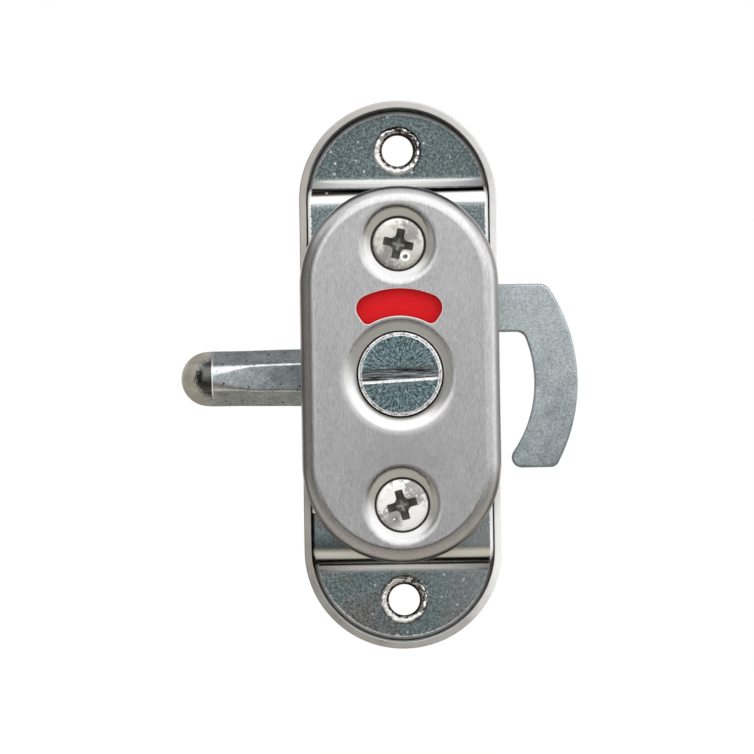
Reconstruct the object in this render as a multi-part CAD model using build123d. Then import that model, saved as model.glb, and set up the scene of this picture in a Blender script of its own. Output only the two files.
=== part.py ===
from build123d import *
import math
import os

# Surface-mounted hook latch for a sliding door, with an indicator.
# X is to the right, Z is up and Y is the depth: the corridor side is at -Y and the room side at +Y.
# The origin is on the spindle's axis, in the door-face plane where the two units meet.
# Shown locked: the hook stands out at +X and the lever points to -X.

# Indicator plate: a pressed stainless cup
plate_width = 29.0
plate_depth = 4.6
plate_sheet = 1.0
plate_edge_radius = 2.25
plate_end_reach = 8.5
screw_disc_reach = 5.95
screw_rim = 5.15
screw_bend = 2.0
dish_depth = 0.75
dish_slope = 25.0
dish_bend = 2.2
dimple_land = 0.1
press_miter = math.tan(math.radians(22.5))
diagonal = math.sqrt(2)

# Indicator window, an arc slot round the spindle
window_angle = 70.0
window_outer_corner = 2.0
window_inner_corner = 1.0
window_land = 0.14
window_cover = 0.55
film_margin = 0.3
film_angle_margin = 5.0
film_thickness = 0.25

# Countersunk plate screws, M4
screw_head = 3.75
screw_land = 0.35
screw_shank = 1.96
screw_hook_gap = 0.25
thread_clearance = 0.04
screw_clearance = 0.2

# Release spindle with its coin slot
head_radius = 6.1
head_height = 1.0
head_chamfer = 0.5
slot_width = 1.75
slot_depth = 0.6
slot_tilt = 3.0
spindle_journal = 4.0
tail_square = 4.0
tail_corner = 0.4
tail_end_gap = 0.4

# Indicator disc and what holds it on the spindle
disc_side_gap = 0.45
disc_thickness = 0.8
washer_outer = 5.0
washer_thickness = 0.3
washer_bow = 0.2
clip_outer = 4.9
clip_band = 1.1
clip_prong = 1.5
clip_prong_angles = (90, 205, 335)
clip_groove = 2.4
clip_thickness = 0.6

# Case cover: a drawn stadium cup on the room side
case_side_inset = 0.1
case_depth = 9.0
case_sheet = 1.05
case_edge_radius = 1.2
slot_end_gap = 0.6

# Drawn collars of the two mounting holes, rolled over the base plate
mount_bridge_reach = 5.6
mount_end_reach = 7.0
mount_bore = 2.3
collar_wall = 0.55
collar_flare = 0.7
collar_lip = 0.65
collar_entry = 1.0
flare_radius = 1.1

# Base plate: raised bridge with a sunk tab at each end
base_sheet = 1.0
base_edge_gap = 0.2
base_edge = 0.3
bridge_inset = 0.1
base_bend = 1.4

# Hub
hub_journal = 4.0
cam_square = 10.0
cam_stop_gap = 1.0
hook_square = 8.0
lever_square = 5.6
lever_square_length = 5.4
hub_web = 1.2

# Bushes and washers
bush_wall = 1.0
bush_flange = 6.2
rear_flange_thickness = 0.5
front_flange_thickness = 0.45
hook_washer_radius = 6.8
hook_washer_thickness = 0.35
lever_washer_radius = 7.0
lever_washer_thickness = 0.5

# Hook: two arcs about points near the axis, and a level arm
hook_thickness = 2.3
hook_play = 0.15
hook_band = 7.45
hook_outer_x = 0.6
hook_outer_z = -1.2
strike_room = 3.5
hook_inner_x = 1.7
hook_inner_z = -1.25
arm_side_gap = 0.25
arm_height = 7.0
tip_inset = 0.55
hook_root_gap = 1.35
hook_shoulder_radius = 2.0
hook_throat_radius = 1.5
hook_tip_inner_radius = 1.5
hook_tip_outer_radius = 1.3
hook_edge = 0.25

# Quarter turn stop
turn = 90.0
stop_wall = 1.35
stop_pin_radius = 1.5
stop_gap = 0.15

# Hairpin detent spring and its post
spring_strip = 0.45
spring_side_gap = 0.35
spring_tail = 6.5
spring_shoulder_drop = 5.5
spring_neck_drop = 2.5
spring_shoulder_radius = 1.6
spring_neck_radius = 0.8
post_nut_gap = 2.5
post_radius = 1.5
rivet_radius = 1.1

# Clinch nuts for the plate screws
nut_flange = 4.0
nut_height = 2.4
nut_pilot = 2.7

# Bar lever on the room side
lever_overhang = 18.2
lever_radius = 4.1
lever_root_radius = 4.3
lever_flare_start = 12.0
lever_flare_end = 24.0
nose_length = 4.4
nose_taper = 6.0
lever_axis_rise = 4.95
boss_radius = 7.8
boss_edge = 2.2
facet_depth = 0.54
facet_tip_gap = 4.5
facet_run = 6.7

# Lever screw, M3 countersunk
lever_screw_head = 2.9
lever_screw_land = 0.3
lever_screw_shank = 1.5
lever_screw_length = 8.0
lever_screw_tip_gap = 0.5

# Clearances
running = 0.05
seat_gap = 0.05
axial_play = 0.1
hook_side_gap = 0.35
cover = 1.0

# Depths worked out from the sizes above
plate_face = -plate_depth
dish_floor = plate_face + dish_depth
head_back = dish_floor - seat_gap
head_face = head_back - head_height
disc_front = dish_floor + plate_sheet + axial_play
disc_back = disc_front + disc_thickness
clip_front = disc_back + seat_gap + washer_thickness + washer_bow + seat_gap
clip_back = clip_front + clip_thickness
face_inside = case_depth - case_sheet
tab_face = face_inside - base_sheet
front_flange_front = face_inside - front_flange_thickness
hook_washer_back = front_flange_front - hook_play
hook_back = hook_washer_back - hook_washer_thickness - seat_gap
hook_front = hook_back - hook_thickness
cam_back = hook_front - seat_gap
rear_flange_back = base_sheet + rear_flange_thickness
cam_front = rear_flange_back + axial_play
screw_top = plate_face + screw_rim - screw_head - screw_land
screw_end = hook_front - screw_hook_gap
lever_washer_back = case_depth + seat_gap + lever_washer_thickness
boss_front = lever_washer_back + axial_play
lever_axis = boss_front + lever_axis_rise
boss_back = lever_axis + lever_radius
hub_end = boss_front + lever_square_length
bore_end = case_depth - hub_web
lever_screw_end = boss_back - lever_screw_length

# Plate and case, worked out from the disc outwards
disc_radius = plate_width / 2 - plate_sheet - disc_side_gap
screw_z = disc_radius + screw_disc_reach
plate_length = 2 * (screw_z + plate_end_reach)
bridge_length = plate_length - 2 * bridge_inset
mount_z = bridge_length / 2 + mount_bridge_reach
case_length = 2 * (mount_z + mount_end_reach)
case_width = plate_width - 2 * case_side_inset
case_inner_width = case_width - 2 * case_sheet
case_inner_length = case_length - 2 * case_sheet

# Window, between the spindle's dish and the disc's edge
dish_fall = math.tan(math.radians(dish_slope))
dish_miter = math.tan(math.radians(dish_slope / 2))
dish_foot = head_radius + running
dish_rim = dish_foot + dish_depth / dish_fall
dish_reach = dish_rim + dish_bend * dish_miter + dimple_land
window_inner = dish_reach + window_land
window_outer = disc_radius - window_cover

# Hook, stop and spring, worked out from the case
hook_inner = case_width / 2 + strike_room
hook_outer = hook_inner + hook_band
arm_top = case_inner_width / 2 - arm_side_gap
arm_bottom = arm_top - arm_height
tip_level = tip_inset - case_width / 2
tip_outer_x = hook_outer_x + math.sqrt(hook_outer**2 - (tip_level - hook_outer_z) ** 2)
hook_swing = math.hypot(tip_outer_x, tip_level)
hook_slot_low = arm_bottom - slot_end_gap
hook_slot_high = math.sqrt(hook_swing**2 - (case_inner_width / 2) ** 2) + slot_end_gap
hook_root = case_inner_width / 2 - hook_root_gap
stop_radius = hook_root - stop_wall - stop_gap - stop_pin_radius
cam_corner = stop_radius - stop_pin_radius - cam_stop_gap
post_z = screw_z - nut_flange - post_nut_gap
lever_reach = case_width / 2 + lever_overhang

# Other sizes worked out
base_width = case_inner_width - 2 * base_edge_gap
base_length = case_inner_length - 2 * base_edge_gap
collar_radius = mount_bore + collar_wall
bush_radius = hub_journal + running + bush_wall
spring_centre = cam_square / 2 + seat_gap + spring_strip / 2
loop_centre = post_radius + seat_gap + spring_strip / 2
spring_top = post_z + loop_centre
tail_bore = tail_square + 2 * running


def slab(outline, near, far):
    """An outline drawn in X and Z, made solid between two depths."""
    return extrude(Plane.XZ.offset(-far) * outline, amount=far - near)


def turned(outline):
    """A profile drawn as radius and depth, turned about the spindle's axis."""
    return revolve(outline, Axis.Y)


def ring(outer, inner, near, far):
    """A plain round washer or tube on the spindle's axis."""
    return slab(Circle(outer) - Circle(inner), near, far)


def stadium(length, width):
    return SlotOverall(length, width, rotation=90)


def profile(*points):
    return make_face(Polyline(*points, close=True))


def nearest(face, x, y):
    """The corner of a drawn face that is nearest to a point."""
    return face.vertices().sort_by_distance((x, y, 0))[0]


def rounded(face, corners):
    """Rounds the named corners of a drawn face, each given as x, y and radius."""
    for x, y, radius in corners:
        face = fillet(nearest(face, x, y), radius)
    return face


def sector(inner, outer, start, sweep):
    """Part of a flat ring, from a start angle through a sweep."""
    first = math.radians(start)
    last = math.radians(start + sweep)
    middle = math.radians(start + sweep / 2)
    inner_ends = [(inner * math.cos(a), inner * math.sin(a)) for a in (first, middle, last)]
    outer_ends = [(outer * math.cos(a), outer * math.sin(a)) for a in (first, middle, last)]
    edges = [
        ThreePointArc(*inner_ends),
        ThreePointArc(*outer_ends),
        Line(inner_ends[0], outer_ends[0]),
        Line(inner_ends[2], outer_ends[2]),
    ]
    return make_face(edges)


def dish_profile():
    """Section of the shallow cone and flat floor pressed round the spindle."""
    sheet = plate_sheet
    miter = sheet * dish_miter
    hole = spindle_journal + running
    face = profile(
        (dish_reach, plate_face),
        (dish_rim, plate_face),
        (dish_foot, dish_floor),
        (hole, dish_floor),
        (hole, dish_floor + sheet),
        (dish_foot + miter, dish_floor + sheet),
        (dish_rim + miter, plate_face + sheet),
        (dish_reach, plate_face + sheet),
    )
    return rounded(face, [(dish_rim, plate_face, dish_bend)])


def screw_cone_profile(reach):
    """Section of the sheet pressed to a countersunk seat."""
    sheet = plate_sheet
    hole = screw_shank + screw_clearance
    miter = sheet * press_miter
    depth = screw_rim - hole
    face = profile(
        (reach, plate_face),
        (screw_rim, plate_face),
        (hole, plate_face + depth),
        (hole, plate_face + depth + sheet * diagonal),
        (screw_rim + miter, plate_face + sheet),
        (reach, plate_face + sheet),
    )
    return rounded(face, [(screw_rim, plate_face, screw_bend)])


def at_screws(piece):
    """A piece on the axis, repeated at the two plate screws."""
    return [Pos(0, 0, side * screw_z) * piece for side in (1, -1)]


def at_mounts(piece):
    """A piece on the axis, repeated at the two mounting holes."""
    return [Pos(0, 0, side * mount_z) * piece for side in (1, -1)]


def edge_rounded(solid, side, radius):
    """Rounds the whole edge of the end face at the low (0) or high (-1) depth."""
    end = solid.faces().sort_by(Axis.Y)[side]
    return fillet(end.edges(), radius)


def edge_chamfered(solid, side, size):
    """Breaks the whole edge of the end face at the low (0) or high (-1) depth."""
    end = solid.faces().sort_by(Axis.Y)[side]
    return chamfer(end.edges(), size)


def make_indicator_plate():
    outer = edge_rounded(slab(stadium(plate_length, plate_width), plate_face, 0), 0, plate_edge_radius)
    inside_length = plate_length - 2 * plate_sheet
    inside_width = plate_width - 2 * plate_sheet
    inside = slab(stadium(inside_length, inside_width), plate_face + plate_sheet, cover)
    plate = outer - edge_chamfered(inside, 0, plate_edge_radius - plate_sheet)

    screw_reach = screw_rim + screw_bend * press_miter + dimple_land
    cone = turned(screw_cone_profile(screw_reach))
    for blank, seat in zip(at_screws(slab(Circle(screw_reach), plate_face, 0)), at_screws(cone)):
        plate = plate - blank + seat

    plate = plate - slab(Circle(dish_reach), plate_face, 0) + turned(dish_profile())

    window = sector(window_inner, window_outer, 90 - window_angle / 2, window_angle)
    corner = min(window_outer_corner, window_outer - window_inner - window_inner_corner - window_land)
    ends = window.vertices().sort_by_distance((0, 0, 0))
    window = fillet(ends[:2], window_inner_corner)
    ends = window.vertices().sort_by_distance((0, 0, 0))
    window = fillet(ends[-2:], corner)
    return plate - slab(window, plate_face - cover, 0)


def make_plate_screws():
    shank_start = screw_top + screw_land + screw_head - screw_shank
    screw = turned(
        profile(
            (0, screw_top),
            (screw_head, screw_top),
            (screw_head, screw_top + screw_land),
            (screw_shank, shank_start),
            (screw_shank, screw_end),
            (0, screw_end),
        )
    )
    return Compound(at_screws(screw))


def square_bar(size, corner, near, far):
    """A square bar on the axis whose corners were turned to a radius."""
    return slab(Rectangle(size, size) & Circle(corner), near, far)


def make_release_spindle():
    head = edge_chamfered(slab(Circle(head_radius), head_face, head_back), 0, head_chamfer)
    slot = Rot(0, 0, slot_tilt) * Rectangle(2 * head_radius, slot_width)
    slot = slot & Circle(head_radius - head_chamfer)
    journal = slab(Circle(spindle_journal), head_back, disc_front)
    tail_radius = tail_square / diagonal - tail_corner / 2
    tail = square_bar(tail_square, tail_radius, disc_front, bore_end - tail_end_gap)
    groove = slab(Circle(tail_square) - Circle(clip_groove), clip_front, clip_back)
    return head - slab(slot, head_face, head_face + slot_depth) + journal + tail - groove


def make_indicator_disc():
    hole = Rectangle(tail_square + 2 * running, tail_square + 2 * running)
    return slab(Circle(disc_radius) - hole, disc_front, disc_back)


def make_film(middle_angle):
    sweep = window_angle + 2 * film_angle_margin
    outline = sector(
        window_inner - film_margin, window_outer + film_margin, middle_angle - sweep / 2, sweep
    )
    return slab(outline, disc_front - film_thickness, disc_front)


def make_bowed_washer():
    """A flat ring bowed about the Z direction."""
    half = washer_outer
    crown = disc_back + seat_gap
    ends = crown + washer_bow
    band = [
        ThreePointArc((-half, ends), (0, crown), (half, ends)),
        Line((half, ends), (half, ends + washer_thickness)),
        ThreePointArc(
            (half, ends + washer_thickness), (0, crown + washer_thickness), (-half, ends + washer_thickness)
        ),
        Line((-half, ends + washer_thickness), (-half, ends)),
    ]
    strip = extrude(make_face(band), amount=half, both=True)
    hole = tail_square / diagonal + running
    return strip & ring(washer_outer, hole, crown - cover, ends + cover)


def make_spindle_clip():
    band = Circle(clip_outer) - Circle(clip_outer - clip_band)
    mouth = Pos(0, -clip_outer) * Rectangle(2 * clip_groove, 2 * clip_outer)
    outline = band - mouth
    for angle in clip_prong_angles:
        reach = (clip_groove + running + clip_outer - clip_band / 2) / 2
        length = clip_outer - clip_band / 2 - clip_groove - running
        prong = Rot(0, 0, angle) * Pos(reach, 0) * Rectangle(length, clip_prong)
        outline = outline + prong
    outline = outline - Circle(clip_groove + running)
    return slab(outline, clip_front, clip_back)


def collar_profile():
    """Section of a drawn screw collar: rounded entry, tube, and the lip rolled over the tab."""
    tube_start = case_depth - collar_entry
    lip_back = tab_face - seat_gap
    lip_front = lip_back - collar_lip
    lip_radius = collar_radius + collar_flare
    reach = mount_bore + collar_entry + collar_wall
    lip_edge = collar_wall / 2
    edges = [
        Line((reach, case_depth), (mount_bore + collar_entry, case_depth)),
        RadiusArc((mount_bore + collar_entry, case_depth), (mount_bore, tube_start), collar_entry),
        Line((mount_bore, tube_start), (mount_bore, tab_face)),
        RadiusArc((mount_bore, tab_face), (lip_radius - lip_edge, lip_front), flare_radius),
        Line((lip_radius - lip_edge, lip_front), (lip_radius, lip_front + lip_edge)),
        Line((lip_radius, lip_front + lip_edge), (lip_radius, lip_back)),
        Line((lip_radius, lip_back), (collar_radius, lip_back)),
        Line((collar_radius, lip_back), (collar_radius, face_inside)),
        Line((collar_radius, face_inside), (reach, face_inside)),
        Line((reach, face_inside), (reach, case_depth)),
    ]
    return make_face(edges)


def make_case_cover():
    outer = edge_rounded(slab(stadium(case_length, case_width), 0, case_depth), -1, case_edge_radius)
    inside = slab(stadium(case_inner_length, case_inner_width), -cover, face_inside)
    cup = outer - inside
    blank = slab(Circle(mount_bore + collar_entry), 0, case_depth + cover)
    for hole, collar in zip(at_mounts(blank), at_mounts(turned(collar_profile()))):
        cup = cup - hole + collar
    cup = cup - slab(Circle(bush_radius), face_inside - cover, case_depth + cover)
    slot_height = hook_slot_high - hook_slot_low
    slot_middle = (hook_slot_high + hook_slot_low) / 2
    slot_outline = Pos(case_width / 2, slot_middle) * Rectangle(2 * (case_sheet + cover), slot_height)
    return cup - slab(slot_outline, hook_front - hook_side_gap, hook_back + hook_side_gap)


def make_base_plate():
    """Side profile of the joggled sheet, drawn as Z and depth, cut to the outline from above."""
    outside = bridge_length / 2
    inside = outside - base_sheet
    end = base_length / 2
    face = profile(
        (-end, tab_face),
        (-outside, tab_face),
        (-outside, 0),
        (outside, 0),
        (outside, tab_face),
        (end, tab_face),
        (end, face_inside),
        (inside, face_inside),
        (inside, base_sheet),
        (-inside, base_sheet),
        (-inside, face_inside),
        (-end, face_inside),
    )
    outer_bend = base_bend + base_sheet
    bends = []
    for side in (-1, 1):
        bends.append((side * outside, tab_face, base_bend))
        bends.append((side * outside, 0, outer_bend))
        bends.append((side * inside, base_sheet, base_bend))
        bends.append((side * inside, face_inside, outer_bend))
    face = rounded(face, bends)
    side_view = Plane(origin=(0, 0, 0), x_dir=(0, 0, 1), z_dir=(-1, 0, 0))
    strip = extrude(side_view * face, amount=base_width / 2, both=True)
    plate = strip & slab(stadium(base_length, base_width), -cover, case_depth)
    # The broken edge runs on from the tabs' arcs along both sides, over the bends
    level = plate.edges().filter_by_position(Axis.Y, tab_face - seat_gap, tab_face + seat_gap)
    plate = chamfer(level.filter_by(GeomType.CIRCLE), base_edge)
    plate = plate - slab(Circle(bush_radius), -cover, base_sheet + cover)
    for hole in at_screws(slab(Circle(nut_pilot), -cover, base_sheet + cover)):
        plate = plate - hole
    for hole in at_mounts(slab(Circle(collar_radius + running), tab_face - cover, case_depth)):
        plate = plate - hole
    for x, z in ((-stop_radius, 0), (0, post_z)):
        plate = plate - Pos(x, 0, z) * slab(Circle(rivet_radius), -cover, base_sheet + cover)
    return plate


def make_hook():
    outer = Pos(hook_outer_x, hook_outer_z) * Circle(hook_outer)
    inner = Pos(hook_inner_x, hook_inner_z) * Circle(hook_inner)
    reach = hook_outer + hook_outer_x
    claw = Pos(reach / 2, (arm_top + tip_level) / 2) * Rectangle(reach, arm_top - tip_level)
    arm = Pos(reach / 2, (arm_top + arm_bottom) / 2) * Rectangle(reach, arm_top - arm_bottom)
    face = (claw & outer) - inner + (arm & outer) + Circle(hook_root)
    throat_x = hook_inner_x + math.sqrt(hook_inner**2 - (arm_bottom - hook_inner_z) ** 2)
    tip_inner_x = hook_inner_x + math.sqrt(hook_inner**2 - (tip_level - hook_inner_z) ** 2)
    shoulder_x = hook_outer_x + math.sqrt(hook_outer**2 - (arm_top - hook_outer_z) ** 2)
    root_x = math.sqrt(hook_root**2 - arm_bottom**2)
    face = rounded(
        face,
        [
            (shoulder_x, arm_top, hook_shoulder_radius),
            (throat_x, arm_bottom, hook_throat_radius),
            (root_x, arm_bottom, hook_throat_radius),
            (tip_inner_x, tip_level, hook_tip_inner_radius),
            (tip_outer_x, tip_level, hook_tip_outer_radius),
        ],
    )
    plate = slab(face, hook_front, hook_back)
    for side in (0, -1):
        plate = edge_chamfered(plate, side, hook_edge)
    seat = Rectangle(hook_square + 2 * running, hook_square + 2 * running)
    gap = stop_pin_radius + stop_gap
    stop_slot = sector(stop_radius - gap, stop_radius + gap, 180 - turn, turn)
    for angle in (180 - turn, 180):
        stop_slot = stop_slot + Rot(0, 0, angle) * Pos(stop_radius, 0) * Circle(gap)
    return plate - slab(seat + stop_slot, hook_front - cover, hook_back + cover)


def make_hub():
    hub = slab(Circle(hub_journal), seat_gap, cam_front)
    hub = hub + square_bar(cam_square, cam_corner, cam_front, cam_back)
    hub = hub + slab(Rectangle(hook_square, hook_square), cam_back, hook_back + seat_gap)
    hub = hub + slab(Circle(hub_journal), hook_back + seat_gap, boss_front)
    hub = hub + slab(Rectangle(lever_square, lever_square), boss_front, hub_end)
    bore = Rectangle(tail_bore, tail_bore)
    hub = hub - slab(bore, 0, bore_end)
    hole_end = lever_screw_end - lever_screw_tip_gap
    screw_hole = slab(Circle(lever_screw_shank + thread_clearance), hole_end, hub_end)
    return hub - screw_hole


def make_rear_bush():
    bush = ring(bush_radius, hub_journal + running, 0, base_sheet)
    return bush + ring(bush_flange, hub_journal + running, base_sheet, rear_flange_back)


def make_front_bush():
    bush = ring(bush_flange, hub_journal + running, front_flange_front, face_inside)
    return bush + ring(bush_radius, hub_journal + running, face_inside, case_depth)


def make_hook_washer():
    return ring(hook_washer_radius, hub_journal + running, hook_back + seat_gap, hook_washer_back)


def make_lever_washer():
    return ring(lever_washer_radius, hub_journal + running, case_depth + seat_gap, lever_washer_back)


def make_detent_spring():
    loop_bend = loop_centre - seat_gap
    spring_shoulder = post_z - spring_shoulder_drop
    spring_neck = post_z - spring_neck_drop
    path = FilletPolyline(
        (-spring_centre, -spring_tail),
        (-spring_centre, spring_shoulder),
        (-loop_centre, spring_neck),
        (-loop_centre, spring_top),
        (loop_centre, spring_top),
        (loop_centre, spring_neck),
        (spring_centre, spring_shoulder),
        (spring_centre, -spring_tail),
        radius=[
            spring_shoulder_radius,
            spring_neck_radius,
            loop_bend,
            loop_bend,
            spring_neck_radius,
            spring_shoulder_radius,
        ],
    )
    return slab(trace(path, spring_strip), cam_front + spring_side_gap, cam_back - spring_side_gap)


def riveted_pin(radius, end):
    """A pin whose reduced end is riveted flush in the base plate."""
    return slab(Circle(rivet_radius), 0, base_sheet) + slab(Circle(radius), base_sheet, end)


def make_stop_pin():
    return Pos(-stop_radius, 0, 0) * riveted_pin(stop_pin_radius, face_inside - 2 * axial_play)


def make_spring_post():
    return Pos(0, 0, post_z) * riveted_pin(post_radius, cam_back - axial_play)


def make_plate_nuts():
    bore = screw_shank + thread_clearance
    nut = ring(nut_pilot, bore, 0, base_sheet)
    nut = nut + ring(nut_flange, bore, base_sheet, base_sheet + nut_height)
    return Compound(at_screws(nut))


def make_lever():
    """A bar with a turned nose on a turned boss, with a facet on its door side."""
    fall = math.tan(math.radians(nose_taper))
    sine = math.sin(math.radians(nose_taper))
    cosine = math.cos(math.radians(nose_taper))
    nose_start = lever_reach - nose_length
    # The taper runs on into a dome about the bar's axis without a break
    dome = (lever_radius - nose_length * fall) / (cosine - fall * (1 - sine))
    dome_start = lever_reach - dome * (1 - sine)
    edges = [
        Line((0, 0), (0, lever_root_radius)),
        Line((0, lever_root_radius), (-lever_flare_start, lever_root_radius)),
        Line((-lever_flare_start, lever_root_radius), (-lever_flare_end, lever_radius)),
        Line((-lever_flare_end, lever_radius), (-nose_start, lever_radius)),
        Line((-nose_start, lever_radius), (-dome_start, dome * cosine)),
        RadiusArc((-dome_start, dome * cosine), (-lever_reach, 0), -dome),
        Line((-lever_reach, 0), (0, 0)),
    ]
    bar = Pos(0, lever_axis, 0) * revolve(make_face(edges), Axis.X)
    boss = edge_rounded(slab(Circle(boss_radius), boss_front, boss_back), -1, boss_edge)
    lever = bar + boss

    top = lever_axis - lever_radius
    facet_end = lever_reach - facet_tip_gap
    facet_full = facet_end - facet_run
    facet = profile(
        (-facet_end, top),
        (-facet_full, top + facet_depth),
        (-boss_radius, top + facet_depth),
        (-boss_radius, top - cover),
        (-facet_end, top - cover),
    )
    lever = lever - extrude(facet, amount=lever_root_radius * 2, both=True)

    square = Rectangle(lever_square + 2 * running, lever_square + 2 * running)
    lever = lever - slab(square, 0, hub_end + seat_gap)
    lever = lever - slab(Circle(lever_screw_shank + screw_clearance), 0, boss_back + cover)
    seat_depth = lever_screw_head + lever_screw_land - lever_screw_shank
    seat = turned(
        profile(
            (0, boss_back + cover),
            (lever_screw_head + seat_gap, boss_back + cover),
            (lever_screw_head + seat_gap, boss_back - lever_screw_land),
            (lever_screw_shank + seat_gap, boss_back - seat_depth),
            (0, boss_back - seat_depth),
        )
    )
    return lever - seat


def make_lever_screw():
    cone_end = boss_back - lever_screw_land - lever_screw_head + lever_screw_shank
    return turned(
        profile(
            (0, boss_back),
            (lever_screw_head, boss_back),
            (lever_screw_head, boss_back - lever_screw_land),
            (lever_screw_shank, cone_end),
            (lever_screw_shank, lever_screw_end),
            (0, lever_screw_end),
        )
    )


nodes = {
    "indicator_plate": make_indicator_plate(),
    "plate_screws": make_plate_screws(),
    "release_spindle": make_release_spindle(),
    "indicator_disc": make_indicator_disc(),
    "red_film": make_film(90),
    "white_film": make_film(90 - turn),
    "bowed_washer": make_bowed_washer(),
    "spindle_clip": make_spindle_clip(),
    "case_cover": make_case_cover(),
    "base_plate": make_base_plate(),
    "hook": make_hook(),
    "hub": make_hub(),
    "rear_bush": make_rear_bush(),
    "front_bush": make_front_bush(),
    "hook_washer": make_hook_washer(),
    "lever_washer": make_lever_washer(),
    "detent_spring": make_detent_spring(),
    "spring_post": make_spring_post(),
    "stop_pin": make_stop_pin(),
    "plate_nuts": make_plate_nuts(),
    "lever": make_lever(),
    "lever_screw": make_lever_screw(),
}

os.makedirs("parts", exist_ok=True)
for node, shape in nodes.items():
    export_step(shape, f"parts/{node}.step")
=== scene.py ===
import math

import bmesh
import bpy
from mathutils import Matrix, Vector, noise


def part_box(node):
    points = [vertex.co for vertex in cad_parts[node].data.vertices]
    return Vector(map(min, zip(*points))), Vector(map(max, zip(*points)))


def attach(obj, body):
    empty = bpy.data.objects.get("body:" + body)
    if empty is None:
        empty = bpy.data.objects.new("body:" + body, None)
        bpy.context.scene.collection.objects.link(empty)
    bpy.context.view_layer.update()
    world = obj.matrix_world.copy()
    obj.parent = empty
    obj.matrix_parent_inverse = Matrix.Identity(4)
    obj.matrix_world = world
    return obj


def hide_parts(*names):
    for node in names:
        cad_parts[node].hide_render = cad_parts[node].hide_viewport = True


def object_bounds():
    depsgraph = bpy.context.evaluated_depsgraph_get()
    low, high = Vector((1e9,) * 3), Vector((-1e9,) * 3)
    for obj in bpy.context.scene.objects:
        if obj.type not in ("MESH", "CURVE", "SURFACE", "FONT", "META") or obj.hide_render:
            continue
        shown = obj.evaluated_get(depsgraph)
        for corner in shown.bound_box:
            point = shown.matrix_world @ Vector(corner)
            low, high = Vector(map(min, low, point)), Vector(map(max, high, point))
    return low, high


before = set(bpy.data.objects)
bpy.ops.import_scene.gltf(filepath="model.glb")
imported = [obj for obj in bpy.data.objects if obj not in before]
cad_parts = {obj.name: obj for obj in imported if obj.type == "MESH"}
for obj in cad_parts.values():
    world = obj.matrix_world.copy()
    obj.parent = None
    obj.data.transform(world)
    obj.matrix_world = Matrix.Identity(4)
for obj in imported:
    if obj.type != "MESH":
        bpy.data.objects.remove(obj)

# Sliding door latch with indicator. X is to the right, Z up and Y away from the viewer, in metres.
MM = 0.001
cad_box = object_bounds()

# Camera, far away because the gap round the base plate is narrow
VIEW_DISTANCE = 900 * MM
VIEW_WIDTH = 110.07 * MM
VIEW_AIM = Vector((-3.43, 0, -0.3)) * MM
VIEW_FROM_RIGHT = math.radians(0.6)
VIEW_FROM_BELOW = math.radians(0.8)
VIEW_ROLL = math.radians(0.9)
SENSOR = 36.0

# Stage
FLOOR_DROP = 18 * MM
FLOOR_SIZE = 0.8
PAPER = (0.88, 0.87, 0.85)
FLOOR_GLOW = 0.30
CARD_LIFT = 1 * MM
FILL = 0.85

# Mounting holes with their collars
MOUNT_Z = 33 * MM
MOUNT_BORE = 2.3 * MM
LIP_STAND = 0.8 * MM

# Plate screws. Each dimple's place is in millimetres from its screw's middle.
SCREW_Z = 19 * MM
SCREW_HEAD = 3.75 * MM
SCREW_LAND = 0.35 * MM
SCREW_SHANK = 1.96 * MM
SCREW_PITCH = 0.7 * MM
SCREW_CROWN = 0.10 * MM
SCREW_SEAM = 4.08 * MM
DIMPLE_UPPER = (0.98, -1.86)
DIMPLE_LOWER = (-1.09, -2.02)

# Exterior plate. The window and the dish are measured from the spindle's axis, and the crease and the bend
# from the line between the middles of the two arcs.
WINDOW_SPAN = (8.1 * MM, 12.9 * MM)
WINDOW_FOOT = 5 * MM
DISH_EDGE = 7.95 * MM
PLATE_ARC_Z = 13 * MM
PLATE_CREASE = 12.5 * MM
PLATE_BEND = 13.2 * MM

# Spindle, with its slot
SPINDLE_FACE = 5.6 * MM
SPINDLE_DARK_LINE = 5.82 * MM
SPINDLE_SEAM = 6.36 * MM
SPINDLE_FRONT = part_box("release_spindle")[0].y
SLOT_FLOOR = 0.3 * MM
SLOT_TILT = math.radians(3)
SLOT_HALF = 0.875 * MM

# Case and base plate
CASE_ARC_Z = 25.6 * MM
BASE_BRIDGE_Z = 29 * MM
BASE_EDGE = 12.7 * MM
BASE_SHEET = 1.0 * MM

# Lever
LEVER_AXIS = 14.6 * MM
LEVER_REACH = 32.6 * MM
LEVER_RADIUS = 4.1 * MM
LEVER_ROOT = 4.3 * MM
LEVER_FLARE = (12 * MM, 24 * MM)
LEVER_NOSE = 4.6 * MM
LEVER_TAPER = math.radians(6)
LEVER_FACET = 0.54 * MM
LEVER_FACET_ENDS = (21.4 * MM, 28.1 * MM)
LEVER_FLAT = 3.48 * MM
LEVER_FLAT_TILT = math.radians(58)
LEVER_FLAT_START = 4 * MM
LEVER_CUT = 9 * MM
LEVER_PATCH = 2.7 * MM
LEVER_SCREW_HEAD = 2.9 * MM
LEVER_SCREW_LAND = 0.3 * MM
LEVER_SCREW_SHANK = 1.5 * MM
LEVER_SCREW_PITCH = 0.5 * MM


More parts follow.
